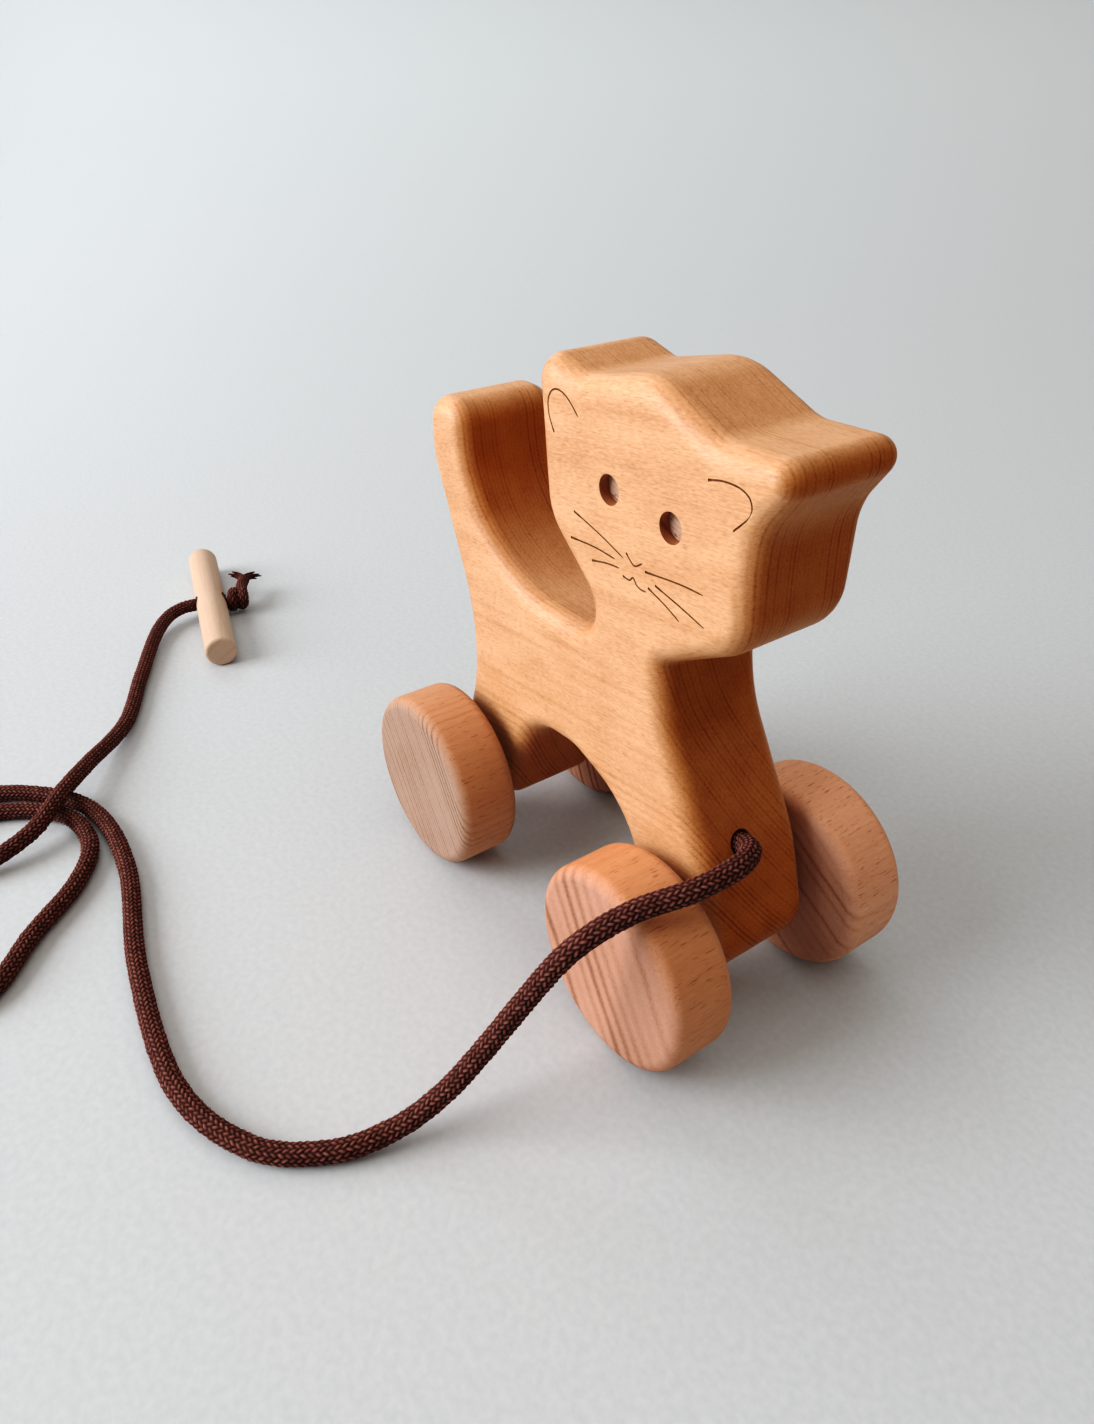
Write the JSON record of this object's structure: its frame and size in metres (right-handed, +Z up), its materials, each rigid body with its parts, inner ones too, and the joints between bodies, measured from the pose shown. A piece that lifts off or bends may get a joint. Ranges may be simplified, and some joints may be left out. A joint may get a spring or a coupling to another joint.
{
  "type": "wheeled pull toy",
  "caption": "Wooden pull toy: a thick rounded board sawn to a sitting cat's outline, rolling on turning wheelsets, with a braided pull cord ending in a dowel toggle.",
  "frame": {"origin": "on the floor, midway between the two axles, in the middle of the board's thickness", "axes": "+X is the toy's front, +Y its left side, +Z up; the face with the eyes looks towards -Y"},
  "size_m": [0.2671, 0.174, 0.1195],
  "materials": {
    "board_wood": "oiled fine-grained hardwood, warm orange-brown",
    "wheel_wood": "plain pinkish hardwood, sanded",
    "axle_wood": "plain dowel",
    "toggle_wood": "plain pale dowel",
    "cord": "dark brown braid"
  },
  "bodies": {
    "toy": {"body": "board_wood", "pull_cord": "cord", "anchor_knot": "cord", "pull_toggle": "toggle_wood", "toggle_knot": "cord"},
    "front_wheelset": {"front_axle": "axle_wood", "front_right_wheel": "wheel_wood", "front_left_wheel": "wheel_wood"},
    "rear_wheelset": {"rear_axle": "axle_wood", "rear_right_wheel": "wheel_wood", "rear_left_wheel": "wheel_wood"}
  },
  "joints": [
    {"name": "front_wheelset_spin", "type": "hinge", "parent": "toy", "child": "front_wheelset", "pos_m": [0.034, 0, 0.02], "axis": [0, 1, 0], "continuous": true},
    {"name": "rear_wheelset_spin", "type": "hinge", "parent": "toy", "child": "rear_wheelset", "pos_m": [-0.034, 0, 0.02], "axis": [0, 1, 0], "continuous": true}
  ]
}
